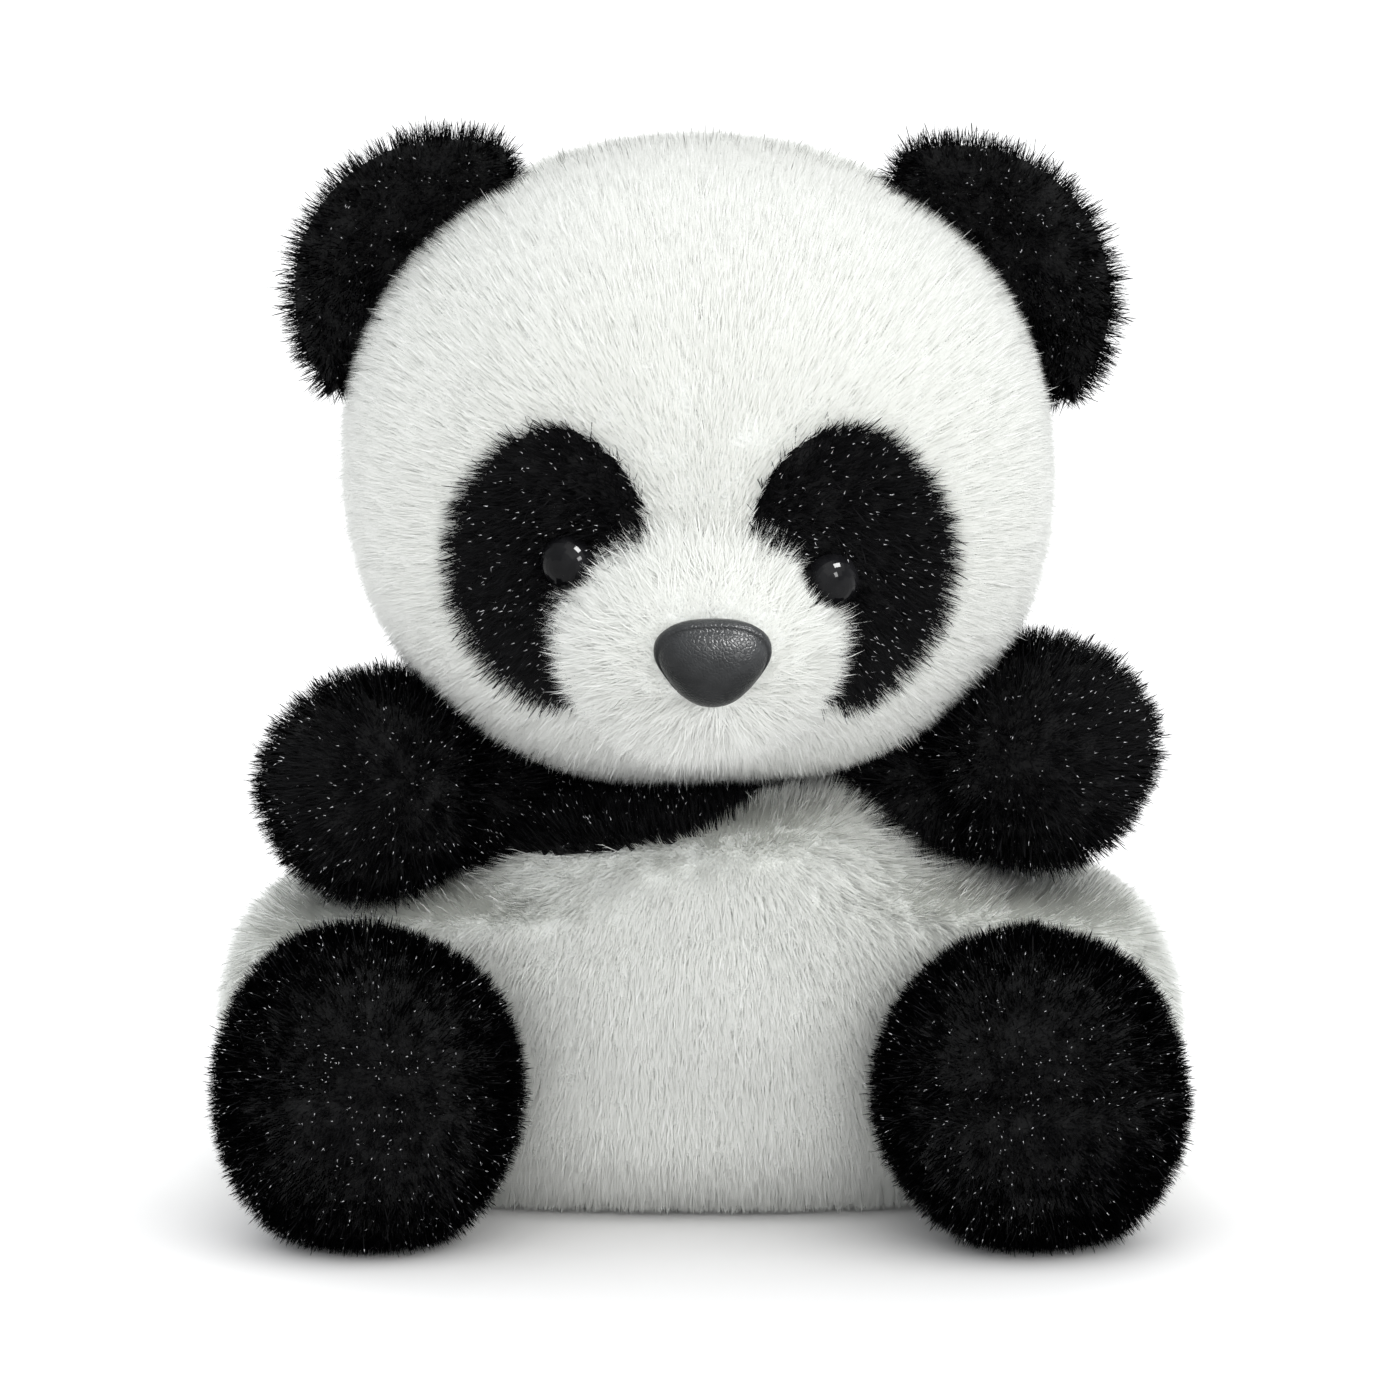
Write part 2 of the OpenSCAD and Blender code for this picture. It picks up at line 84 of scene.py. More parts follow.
def angles_about(d, azimuth, elevation):
    """Degrees from a direction towards +X where it looks forward, and above it, for unit vectors d."""
    a = math.radians(azimuth)
    forward = ray(azimuth, elevation)
    east = np.array([math.cos(a), math.sin(a), 0])
    north = np.cross(forward, east)
    ahead = d @ forward
    across = np.degrees(np.arctan2(d @ east, ahead))
    above = np.degrees(np.arctan2(d @ north, ahead))
    return across, above


def ripple(p, size, seed):
    """A smooth random field, mostly from -1 to 1, whose bumps are about size across."""
    waves, spread = 7, 2.6
    rng = np.random.default_rng(seed)
    total = np.zeros(len(p))
    for _ in range(waves):
        d = unit(rng.normal(size=3))
        total += np.sin(p @ d * (2 * math.pi / size) * rng.uniform(0.6, 1.3) + rng.uniform(0, 7))
    return total / spread


def cad_box(node):
    low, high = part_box(node)
    return np.array(low) / MM, np.array(high) / MM


def middle(node):
    low, high = cad_box(node)
    return (low + high) / 2


# ---------------------------------------------------------------- camera and light

# Degrees, then metres: the frame's width is measured at the point that the camera looks at
CAMERA_RISE = 10
CAMERA_FAR = 1.6
FRAME_WIDTH = 0.161
AIM = Vector((0, 0, 0.0563))
LAMP_FAR = 2


def aim_at_panda(thing, azimuth, elevation, far):
    back = Vector(ray(azimuth, elevation))
    thing.location = AIM + back * far
    thing.rotation_euler = (-back).to_track_quat("-Z", "Y").to_euler()
    scene.collection.objects.link(thing)


def make_camera():
    data = bpy.data.cameras.new("camera")
    data.sensor_width = 36
    data.lens = data.sensor_width * CAMERA_FAR / FRAME_WIDTH
    data.clip_end = 50
    camera = bpy.data.objects.new("camera", data)
    aim_at_panda(camera, 0, CAMERA_RISE, CAMERA_FAR)
    scene.camera = camera


def make_sun(name, azimuth, elevation, width, strength, colour):
    """A sun that is width degrees across, so that the floor is evenly bright."""
    data = bpy.data.lights.new(name, "SUN")
    data.angle = math.radians(width)
    data.energy = strength
    data.color = colour
    lamp = bpy.data.objects.new(name, data)
    aim_at_panda(lamp, azimuth, elevation, LAMP_FAR)
    return lamp


def make_world():
    world = bpy.data.worlds.new("studio")
    scene.world = world
    world.use_nodes = True
    background = world.node_tree.nodes["Background"]
    background.inputs["Color"].default_value = (0.95, 0.975, 1.0, 1)
    background.inputs["Strength"].default_value = 0.92
    scene.view_settings.view_transform = "Standard"


make_camera()
make_world()
make_sun("key", 30, 50, 80, 1.25, (1.0, 0.99, 0.95))
make_sun("fill", 0, 8, 70, 0.42, (1.0, 1.0, 0.98))
make_sun("back", 190, 35, 80, 1.0, (1.0, 1.0, 0.98))


# ---------------------------------------------------------------- materials


def new_material(name):
    material = bpy.data.materials.new(name)
    material.use_nodes = True
    tree = material.node_tree
    return material, tree, tree.nodes["Principled BSDF"]


def add(tree, kind, **values):
    node = tree.nodes.new(kind)
    for key, value in values.items():
        if key in node.inputs:
            node.inputs[key].default_value = value
        else:
            setattr(node, key, value)
    return node


def place(tree):
    """Object coordinates, in millimetres."""
    coords = add(tree, "ShaderNodeTexCoord")
    mapping = add(tree, "ShaderNodeMapping")
    mapping.inputs["Scale"].default_value = (1 / MM, 1 / MM, 1 / MM)
    tree.links.new(coords.outputs["Object"], mapping.inputs["Vector"])
    return mapping.outputs["Vector"]


def ramp(tree, factor, stops):
    node = add(tree, "ShaderNodeValToRGB")
    elements = node.color_ramp.elements
    while len(elements) < len(stops):
        elements.new(0.5)
    for element, (position, colour) in zip(elements, stops):
        element.position = position
        element.color = (*colour, 1)
    tree.links.new(factor, node.inputs["Fac"])
    return node.outputs["Color"]


def bump(tree, height, strength, distance, onto):
    node = add(tree, "ShaderNodeBump")
    node.inputs["Strength"].default_value = strength
    node.inputs["Distance"].default_value = distance * MM
    tree.links.new(height, node.inputs["Height"])
    tree.links.new(node.outputs["Normal"], onto.inputs["Normal"])


def cloth_material(name, dark, light, grain, roughness, depth=0.3):
    """Backing cloth: a knit of fine bumps with uneven colour."""
    material, tree, shader = new_material(name)
    where = place(tree)
    patches = add(tree, "ShaderNodeTexNoise", Scale=0.25, Detail=4.0)
    tree.links.new(where, patches.inputs["Vector"])
    colour = ramp(tree, patches.outputs["Fac"], [(0.35, dark), (0.65, light)])
    tree.links.new(colour, shader.inputs["Base Color"])
    knit = add(tree, "ShaderNodeTexVoronoi", Scale=1 / grain)
    tree.links.new(where, knit.inputs["Vector"])
    bump(tree, knit.outputs["Distance"], 0.7, depth, shader)
    shader.inputs["Roughness"].default_value = roughness
    return material


def moulded_material(name, colour, roughness, gloss, grain, depth):
    """Moulded plastic, with a fine leathery grain where depth isn't 0."""
    material, tree, shader = new_material(name)
    where = place(tree)
    noise = add(tree, "ShaderNodeTexNoise", Scale=0.6, Detail=3.0)
    tree.links.new(where, noise.inputs["Vector"])
    light = tuple(min(1, c * 1.5 + 0.002) for c in colour)
    mottle = ramp(tree, noise.outputs["Fac"], [(0.3, colour), (0.75, light)])
    tree.links.new(mottle, shader.inputs["Base Color"])
    cells = add(tree, "ShaderNodeTexVoronoi", Scale=1 / grain, feature="DISTANCE_TO_EDGE")
    tree.links.new(where, cells.inputs["Vector"])
    pits = ramp(tree, cells.outputs["Distance"], [(0.0, (0, 0, 0)), (0.25, (1, 1, 1))])
    bump(tree, pits, 0.8, depth, shader)
    shader.inputs["Roughness"].default_value = roughness
    shader.inputs["Specular IOR Level"].default_value = gloss
    return material


def strand_material(name, colour, roughness, gloss, sheen=0.0):
    """One tint of pile. Its colour is set on the shader itself, since a pile has thousands of strands."""
    material, _, shader = new_material(name)
    shader.inputs["Base Color"].default_value = (*colour, 1)
    shader.inputs["Roughness"].default_value = roughness
    shader.inputs["Specular IOR Level"].default_value = gloss
    shader.inputs["Sheen Weight"].default_value = sheen
    return material


# Tints of each pile. The last is the pale tip that a few guard hairs have: a painted glint, where a tip
# catches the light
WHITE_TINTS = [(0.925, 0.935, 0.9), (0.935, 0.945, 0.91), (0.945, 0.955, 0.92), (0.98, 0.98, 0.965)]
BLACK_TINTS = [(0.0022, 0.0022, 0.0026), (0.0034, 0.0034, 0.004), (0.006, 0.006, 0.007), (0.62, 0.62, 0.64)]

WHITE_PILE = [strand_material(f"white_pile_{i}", c, 0.7, 0.3, 0.1) for i, c in enumerate(WHITE_TINTS)]
BLACK_PILE = [strand_material(f"black_pile_{i}", c, 0.42, 0.08) for i, c in enumerate(BLACK_TINTS)]
WHITE_BACKING = cloth_material("white_backing", (0.8, 0.81, 0.78), (0.88, 0.89, 0.87), 0.45, 0.9)
BLACK_BACKING = cloth_material("black_backing", (0.0015, 0.0015, 0.002), (0.003, 0.003, 0.0035), 0.45, 0.9)
FILLING = cloth_material("fibre_filling", (0.72, 0.71, 0.67), (0.9, 0.89, 0.85), 1.1, 0.9, 0.8)
POUCH = cloth_material("pouch_cloth", (0.6, 0.59, 0.55), (0.76, 0.75, 0.71), 0.6, 0.85)
THREAD = cloth_material("thread", (0.62, 0.62, 0.6), (0.8, 0.8, 0.78), 0.2, 0.7, 0.1)
LABEL = cloth_material("label_satin", (0.78, 0.78, 0.77), (0.88, 0.88, 0.87), 0.25, 0.35, 0.08)
EYE = moulded_material("eye_plastic", (0.0015, 0.0015, 0.0018), 0.07, 0.12, 2.0, 0.0)
NOSE = moulded_material("nose_plastic", (0.0085, 0.009, 0.0095), 0.34, 0.2, 0.45, 0.04)
WASHER = moulded_material("washer_plastic", (0.6, 0.6, 0.57), 0.45, 0.5, 0.6, 0.02)
PELLET = moulded_material("pellet_plastic", (0.6, 0.62, 0.58), 0.35, 0.5, 0.8, 0.02)
BACKING = {"white": WHITE_BACKING, "black": BLACK_BACKING}
PILE = {"white": WHITE_PILE, "black": BLACK_PILE}
PLUSH_SLOT = {"white": "white_plush", "black": "black_plush"}


# ---------------------------------------------------------------- surfaces of the stuffed bodies

HEAD_C = middle("head_stuffing")
HEAD_R = (cad_box("head_stuffing")[1] - cad_box("head_stuffing")[0]) / 2 + SKIN + FILL_GAP
HEAD_POWER = 2.15
HEAD_SAG_SIZE, HEAD_SAG_DEEP = 26, 0.35
# The muzzle's place and half sizes in degrees, how far it stands out, and its centre seam
MUZZLE_DROP = -28
MUZZLE_WIDE, MUZZLE_TALL = 24.5, 21.5
MUZZLE_OUT = 9.6
MUZZLE_ROUND = 0.8
MUZZLE_SEAM_X = 1.2
MUZZLE_SEAM_TURN, MUZZLE_SEAM_HALF, MUZZLE_SEAM_DEEP = 1.6, 2.0, 1.1
# An eye patch's place, half sizes and slant in degrees, and how much wider its upper end is
PATCH_TURN, PATCH_DROP = 30.5, -14.0
PATCH_LONG, PATCH_SHORT = 28.4, 19.2
PATCH_SLANT = 73
PATCH_TAPER = 0.12
PATCH_SEAM_HALF, PATCH_SEAM_DEEP = 0.09, 0.5
EYE_PULL, EYE_PULL_HALF = 1.0, 9
CHIN_RISE = -51


def muzzle_share(d):
    across, above = angles_about(d, 0, MUZZLE_DROP)
    return np.hypot(across / MUZZLE_WIDE, above / MUZZLE_TALL)


def patch_share(d, side):
    """Less than 1 inside an eye patch: a slanting oval that is wider at its upper end."""
    across, above = angles_about(d, side * PATCH_TURN, PATCH_DROP)
    across = across * side
    slant = math.radians(PATCH_SLANT)
    down = across * math.cos(slant) - above * math.sin(slant)
    out = across * math.sin(slant) + above * math.cos(slant)
    wide = PATCH_SHORT * (1 - PATCH_TAPER * down / PATCH_LONG)
    return np.hypot(down / PATCH_LONG, out / wide)


def head_shell(d):
    """Distance from the head's middle to its plain outer shape, without the muzzle."""
    return 1 / ((np.abs(d) / HEAD_R) ** HEAD_POWER).sum(-1) ** (1 / HEAD_POWER)


def head_at(d):
    r = head_shell(d)
    share = np.minimum(1, muzzle_share(d))
    r = r + MUZZLE_OUT * (1 - share**2) ** MUZZLE_ROUND
    # the muzzle's centre seam pulls in below the nose, and each eye pulls its patch in
    across, above = angles_about(d, MUZZLE_SEAM_TURN, MUZZLE_DROP)
    seam = MUZZLE_SEAM_DEEP * np.exp(-((across / MUZZLE_SEAM_HALF) ** 2))
    r = r - seam * smooth(0, -9, above) * smooth(1.25, 0.8, muzzle_share(d))
    for side in SIDES.values():
        eye = unit(middle(f"eye_{side_name(side)}") - HEAD_C)
        near = np.degrees(np.arccos(np.clip(d @ eye, -1, 1)))
        r = r - EYE_PULL * np.exp(-((near / EYE_PULL_HALF) ** 2))
        edge = (patch_share(d, side) - 1) / PATCH_SEAM_HALF
        r = r - PATCH_SEAM_DEEP * np.exp(-(edge**2)) * (share >= 1)
    p = HEAD_C + d * r[:, None]
    return p + d * (HEAD_SAG_DEEP * ripple(p, HEAD_SAG_SIZE, 3))[:, None]


def side_name(side):
    return "left" if side == LEFT else "right"


# Rings of the body from the middle of its base to its top: share of half width, front, back, height
BODY_RINGS = np.array([
    [0.0, 0.1, 0.1, 0.0], [0.82, 15, 30, 0.0], [0.91, 20, 33, 3.2], [0.97, 25.5, 35.4, 9],
    [1, 28, 36.4, 17], [0.985, 29.4, 35.8, 24.2], [0.93, 29.2, 33.4, 30.3], [0.81, 28.2, 29, 34.1],
    [0.6, 26.8, 24.5, 37], [0.48, 24.6, 19.6, 40.7], [0.41, 21.4, 15.6, 44], [0.31, 16.8, 12, 46],
    [0.15, 9, 7, 46.9], [0.0, 0.3, 0.3, 47],
])
RING_RISE = [-90, -55, -42, -27, -10, 7, 20, 30, 39, 49, 58, 67, 78, 90]
# The body is this much wider on each side than its CAD panels
HIP_SWELL = 1.6
BODY_HALF = cad_box("hip_panel_left")[1][0] + HIP_SWELL
BODY_POWER = 2.3
# Each leg presses a hollow in the body: its depth, its place and its half size
LEG_DENT = 8
LEG_SPAN, LEG_DENT_Z, LEG_DENT_HALF = 36, 18, 15
# The belly swells up to the chin, more on the panda's left: its middle, half sizes, and how far out and up
SWELL_X, SWELL_Z = 9, 41
SWELL_WIDE, SWELL_TALL = 15, 6.5
SWELL_OUT, SWELL_UP = 2.2, 2.3
SAG_SIZE, SAG_DEEP = 30, 0.5
STITCH_HALF, STITCH_DEEP = 1.8, 0.6


def between_rings(rise):
    """Catmull-Rom through the rings, at elevations in degrees."""
    index = np.interp(rise, RING_RISE, range(len(RING_RISE)))
    i = np.clip(index.astype(int), 0, len(RING_RISE) - 2)
    t = (index - i)[:, None]
    last = len(RING_RISE) - 1
    a, b, c, d = (BODY_RINGS[np.clip(i + k, 0, last)] for k in (-1, 0, 1, 2))
    return 0.5 * (2 * b + (c - a) * t + (2 * a - 5 * b + 4 * c - d) * t**2 + (3 * b - a - 3 * c + d) * t**3)


def torso_at(d):
    rise = np.degrees(np.arcsin(np.clip(d[:, 2], -1, 1)))
    ring = between_rings(rise)
    level = unit(d[:, :2])
    power = 2 / BODY_POWER
    x = BODY_HALF * ring[:, 0] * np.sign(level[:, 0]) * np.abs(level[:, 0]) ** power
    ahead = np.sign(-level[:, 1]) * np.abs(level[:, 1]) ** power
    z = ring[:, 3]
    across, above = (np.abs(x) - LEG_SPAN) / LEG_DENT_HALF, (z - LEG_DENT_Z) / LEG_DENT_HALF
    dent = LEG_DENT * np.exp(-(across**2) - above**2) * np.minimum(1, 4 * np.abs(ahead))
    y = np.where(ahead > 0, -ring[:, 1] * ahead + dent, -ring[:, 2] * ahead)
    swell = np.exp(-(((x - SWELL_X) / SWELL_WIDE) ** 2) - ((z - SWELL_Z) / SWELL_TALL) ** 2) * (ahead > 0)
    y = y - SWELL_OUT * swell
    z = z + SWELL_UP * swell
    p = np.stack([x, y, z], 1)
    # soft sags in the bag, and the pinch of the hand-sewn line on the belly
    p[:, 1] += np.where(ahead > 0, SAG_DEEP, -SAG_DEEP) * ripple(p, SAG_SIZE, 8) * smooth(3, 14, z)
    pinch = STITCH_DEEP * np.exp(-(((z - stitch_height(x)) / STITCH_HALF) ** 2))
    p[:, 1] += pinch * stitch_share(x) * (ahead > 0)
    p[:, 2] = np.maximum(p[:, 2], SKIN_LOW)
    return p


def stitch_height(x):
    """Height of the hand-sewn line across the belly."""
    return np.interp(x, [-27, -12, 0, 9], [30.5, 33.6, 35.6, 36.4])


def stitch_share(x):
    """How strongly the line pulls in: it fades out at both ends."""
    return smooth(-29, -25, x) * smooth(11, 7, x)


def exit_of(c, r, d):
    """Distance from the origin to the far side of a sphere, along each d."""
    along = d @ c
    return along + np.sqrt(np.maximum(0, along**2 - c @ c + r * r))


def merged(a, b, sharp):
    """The larger of two distances, with a soft change between them."""
    top = np.maximum(a, b)
    return top + np.log(np.exp((a - top) * sharp) + np.exp((b - top) * sharp)) / sharp


SHOULDER = {side: middle(f"shoulder_stuffing_{name}") for name, side in SIDES.items()}
ROOT_R = 7.2
# The soft root of an arm is this much fatter, and reaches this far in and down from its pivot, under the chin
ROOT_FATTER = 1.6
ROOT_IN = np.array([2.6, 0, -1.8])
ARM_R = 12.0
ARM_FLAT = 0.88
FOOT_TALL = 1.06
# How sharply a limb's root runs into its round end, and what comes off the limb for the width that this adds
RUN_IN = 0.9
ARM_TRIM, LEG_TRIM = 0.2, 0.1
# How deep the seam across each foot pulls in
CREASE = {LEFT: 2.0, RIGHT: 0.8}
CREASE_HALF = 1.6
TOP_RIDGE, TOP_RIDGE_HALF = 0.5, 2.2
FOOT_SEAM_Z, FOOT_SEAM_TILT, FOOT_SPAN = 19.5, 0.05, 37
ARM_SAG_SIZE, ARM_SAG_DEEP = 16, 0.3
LEG_SAG_SIZE, LEG_SAG_DEEP = 18, 0.35


def arm_box(side):
    boxes = [cad_box(f"arm_{side_name(side)}_{part}") for part in ("front", "back")]
    return np.min([b[0] for b in boxes], 0), np.max([b[1] for b in boxes], 0)


def arm_parts(side):
    """Pivot, and the middle of the arm's round end."""
    low, high = arm_box(side)
    pivot = SHOULDER[side]
    tip = high[0] if side == LEFT else -low[0]
    forward = (pivot[1] - low[1] - ARM_FLAT * ARM_R) / ((1 + ARM_FLAT) / 2)
    return pivot, np.array([side * (tip - ARM_R), pivot[1] - forward, high[2] - ARM_R])


def arm_at(side):
    pivot, end = arm_parts(side)
    centre = (pivot + end) / 2
    root = pivot + ROOT_IN * [-side, 1, 1]

    def at(d):
        inner = exit_of(root - centre, ROOT_R + ROOT_FATTER, d)
        k = merged(inner, exit_of(end - centre, ARM_R, d), RUN_IN) - ARM_TRIM
        p = centre + d * k[:, None] * np.array([1, ARM_FLAT, 1])
        return p + d * (ARM_SAG_DEEP * ripple(p, ARM_SAG_SIZE, 20 + side))[:, None]

    return at


def joint_place(name):
    joint = next(j for j in frame["record"]["behaviour"]["joints"] if j["name"] == name)
    return np.array(joint["pos_m"]) / MM


def leg_parts(side):
    """Pivot, then the middle and the radius of the foot."""
    low, high = cad_box(f"leg_{side_name(side)}_upper")
    pivot = joint_place(f"leg_{side_name(side)}_lift")
    r = (abs(high[0] - low[0])) / 2
    return pivot, np.array([(low[0] + high[0]) / 2, low[1] + r, high[2] - FOOT_TALL * r]), r


def leg_at(side):
    pivot, end, r = leg_parts(side)

    def at(d):
        k = merged(exit_of(np.zeros(3), r, d), exit_of(pivot - end, ROOT_R, d), RUN_IN) - LEG_TRIM
        p = end + d * k[:, None] * np.array([1, 1, FOOT_TALL])
        # the seam between the top and the sole pulls in, and the top has a soft ridge
        seam = np.exp(-(((p[:, 2] - seam_height(p)) / CREASE_HALF) ** 2)) * smooth(-0.2, -0.7, d[:, 1])
        ridge = np.exp(-(((p[:, 0] - end[0]) / TOP_RIDGE_HALF) ** 2)) * smooth(0.35, 0.8, d[:, 2])
        sag = LEG_SAG_DEEP * ripple(p, LEG_SAG_SIZE, 30 + side)
        p = p + d * (TOP_RIDGE * ridge - CREASE[side] * seam + sag)[:, None]
        p[:, 2] = np.maximum(p[:, 2], SKIN_LOW)
        return p

    return at


def seam_height(p):
    """Height of the seam across a foot."""
    return FOOT_SEAM_Z + FOOT_SEAM_TILT * (np.abs(p[:, 0]) - FOOT_SPAN)


def tail_at(d):
    low, high = cad_box("tail_skin")
    return (low + high) / 2 + d * (high - low).max() / 2


def sphere_mesh(subdivisions, at):
    """Points and faces of a round body, whose surface in each direction is given by at."""
    bm = bmesh.new()
    bmesh.ops.create_icosphere(bm, subdivisions=subdivisions, radius=1)
    bm.verts.ensure_lookup_table()
    d = unit(np.array([v.co for v in bm.verts]))
    faces = np.array([[v.index for v in f.verts] for f in bm.faces])
    bm.free()
    return at(d), faces


def vertex_normals(points, faces):
    a, b, c = (points[faces[:, k]] for k in range(3))
    n = np.cross(b - a, c - a)
    total = np.zeros_like(points)
    for k in range(3):
        np.add.at(total, faces[:, k], n)
    return unit(total)


# ---------------------------------------------------------------- ears

# Elevation of each ear's middle in degrees, then sizes in mm: its radius, how far it cups forward, half its
# thickness, and how far its middle and its seam stand out of the head. The spans are half angles
EAR_RISE = {LEFT: 33.5, RIGHT: 35.0}
EAR_R = 17.5
EAR_CUP = 3.0
EAR_HALF = 1.9
EAR_SUNK = -3.4
EAR_SEAM_OUT = 0.8
EAR_SPAN = 76
EAR_ROOT_SPAN = 21.8
EAR_ROWS, EAR_COLUMNS = 17, 49
# Its pile lies away from a point that is this far out of the head
EAR_COMB_OUT = -6.0


def head_rim(rise, out):
    """Point of the head's outline, seen from the front, at an elevation in degrees."""
    e = np.radians(rise)
    d = np.stack([np.cos(e), 0 * e, np.sin(e)], -1)
    return HEAD_C + d * (head_shell(d) + out)[..., None]


def ear_point(side, s, a, face):
    """s goes out from the seam to the round edge, a along it in degrees; face is -1 in front and 1 behind."""
    rise = math.radians(EAR_RISE[side])
    n = np.array([math.cos(rise), 0, math.sin(rise)])
    t = np.array([-math.sin(rise), 0, math.cos(rise)])
    c = head_rim(np.array(EAR_RISE[side]), np.array(EAR_SUNK))
    sine, cosine = np.sin(np.radians(a)), np.cos(np.radians(a))
    rim = c + EAR_R * (cosine[..., None] * n + sine[..., None] * t)
    root = head_rim(EAR_RISE[side] + EAR_ROOT_SPAN * sine, np.full_like(a, EAR_SEAM_OUT))
    p = root + s[..., None] * (rim - root)
    edge = np.minimum(1, (1 - s) * 3.2) * np.minimum(1, (EAR_SPAN - np.abs(a)) / 14)
    thick = EAR_HALF * np.sqrt(np.clip(edge, 0, 1)) * (1 + 0.3 * np.sin(math.pi * s))
    p[..., 1] += face * thick - EAR_CUP * s**2
    p[..., 0] *= side
    return p


def ear_mesh(side, face):
    rows, columns = EAR_ROWS, EAR_COLUMNS
    turns = np.linspace(-EAR_SPAN, EAR_SPAN, columns)
    s, a = np.meshgrid(np.linspace(0, 1, rows), turns, indexing="ij")
    points = ear_point(side, s.ravel(), a.ravel(), face)
    faces = []
    for i in range(rows - 1):
        for j in range(columns - 1):
            k = i * columns + j
            faces += [[k, k + 1, k + columns + 1], [k, k + columns + 1, k + columns]]
    faces = np.array(faces)
    if vertex_normals(points, faces)[len(points) // 2][1] * face < 0:
        faces = faces[:, ::-1]
    return points, faces


# ---------------------------------------------------------------- regions: which CAD panel a point belongs to


def head_region(p):
    d = unit(p - HEAD_C)
    rise = np.degrees(np.arcsin(np.clip(d[:, 2], -1, 1)))
    left = p[:, 0] > 0
    name = np.where(left, "face_left", "face_right").astype(object)
    back = d[:, 1] > 0
    name[back & left] = "head_back_left"
    name[back & ~left] = "head_back_right"
    name[rise < CHIN_RISE] = "chin_gusset"
    for side_text, side in SIDES.items():
        name[(patch_share(d, side) < 1) & (d[:, 1] < 0)] = f"eye_patch_{side_text}"
    muzzle = (muzzle_share(d) < 1) & (d[:, 1] < 0)
    name[muzzle] = np.where(p[muzzle, 0] > MUZZLE_SEAM_X, "muzzle_left", "muzzle_right")
    return name


# Lower edge of the black band: x and height in front, and its height behind
BAND_X = [-34, -25, -20, -12, 0, 7, 15, 23, 31, 38]
BAND_FRONT = [36.5, 38.6, 41.5, 42.6, 44.9, 47.3, 47.5, 45.2, 40.6, 37.5]
BAND_BACK = 39.2
BASE_TOP = 0.6
# Azimuths of the seams, about an upright line at BODY_Y
BODY_Y = 1
SIDE_SEAM, BACK_SEAM = 60, 120


def band_height(x, y):
    """Height of the black band's lower edge round the body."""
    share = smooth(-8, 6, y)
    return np.interp(x, BAND_X, BAND_FRONT) * (1 - share) + BAND_BACK * share


def torso_region(p):
    azimuth = np.degrees(np.arctan2(p[:, 0], BODY_Y - p[:, 1]))
    left = azimuth > 0
    turn = np.abs(azimuth)
    name = np.full(len(p), "belly_panel", object)
    name[(turn > SIDE_SEAM) & left] = "hip_panel_left"
    name[(turn > SIDE_SEAM) & ~left] = "hip_panel_right"
    name[(turn > BACK_SEAM) & left] = "back_panel_left"
    name[(turn > BACK_SEAM) & ~left] = "back_panel_right"
    band = p[:, 2] > band_height(p[:, 0], p[:, 1])
    name[band] = np.where(p[band, 1] < 0, "shoulder_band_front", "shoulder_band_back")
    name[p[:, 2] < BASE_TOP] = "base_panel"
    return name


def arm_region(side):
    centre = sum(arm_parts(side)) / 2
    text = f"arm_{side_name(side)}_"
    return lambda p: np.where(p[:, 1] < centre[1], text + "front", text + "back").astype(object)


def leg_region(side):
    text = f"leg_{side_name(side)}_"
    return lambda p: np.where(p[:, 2] > seam_height(p), text + "upper", text + "lower").astype(object)


def one_region(name):
    return lambda p: np.full(len(p), name, object)


WHITE_NODES = ("face", "head_back", "chin", "muzzle", "belly", "hip", "back_panel", "base", "tail")


def colour_of(node):
    return "white" if node.startswith(WHITE_NODES) else "black"


# ---------------------------------------------------------------- pile

# Strands and guard hairs to a square millimetre, and how many strands stand in a clump
STRANDS = 17.0
GUARDS = 1.7
CLUMP = 8
CLUMP_R = 0.9
# Share of the strands and of the guard hairs that each colour keeps
KEPT = {"white": (1.0, 0.45), "black": (0.78, 1.0)}
# Half the width of a strand and of a guard hair at its foot, how deep in the skin they start, and how much
# they turn their broad side away from the body's middle
HALF_WIDTH = {"white": 0.065, "black": 0.068}
GUARD_HALF_WIDTH = 0.06
ROOT_DEEP = 0.25
FACE_OUT = 0.7
# Where a guard hair bends, as a share of its length, and how many have a pale tip past the bend, a painted
# glint
BEND = {"white": 0.7, "black": 0.87}
PAINTED_GLINT_TIPS = 0.3
# How far each colour shades like its skin and not strand by strand
SHADES_AS_ONE = {"white": 0.93, "black": 0.45}
# For each kind of pile: length in mm, lean over the skin as a tangent, swirl of its clumps, jitter of its
# strands, how far the tips of a clump come together, and the spread of lengths
COAT = dict(length=2.9, lean=1.0, swirl=0.07, jitter=0.09, gather=0.06, uneven=0.04)
DARK = dict(length=2.9, lean=0.35, swirl=0.16, jitter=0.17, gather=0.12, uneven=0.1)
STYLES = {
    "muzzle": dict(length=3.9, lean=1.0, swirl=0.3, jitter=0.14, gather=0.4, uneven=0.12),
    "eye_patch": {**DARK, "length": 3.2, "lean": 0.45},
    "ear": {**DARK, "length": 2.6, "lean": 0.4},
    "arm": DARK,
    "leg": {**DARK, "length": 2.4},
    "shoulder": DARK,
}


def style_of(node):
    return next((style for start, style in STYLES.items() if node.startswith(start)), COAT)


def tangent(v, n):
    """The part of v that runs along the surface."""
    return v - n * (v * n).sum(1, keepdims=True)


def away_from(point):
    """Pile that lies away from a point."""
    return lambda p, n: unit(tangent(p - point, n))


def falling(p, n):
    """Pile that hangs down the sides and stands up where the surface is level."""
    return tangent(np.array([0.02, 0.0, -1.0]) + 0 * p, n)


NOSE_C = middle("nose")
# Where the pile of the face and of the muzzle spreads from, as offsets from the nose
FACE_FROM, MUZZLE_FROM = [0, 6, 3], [0, 2, -4]


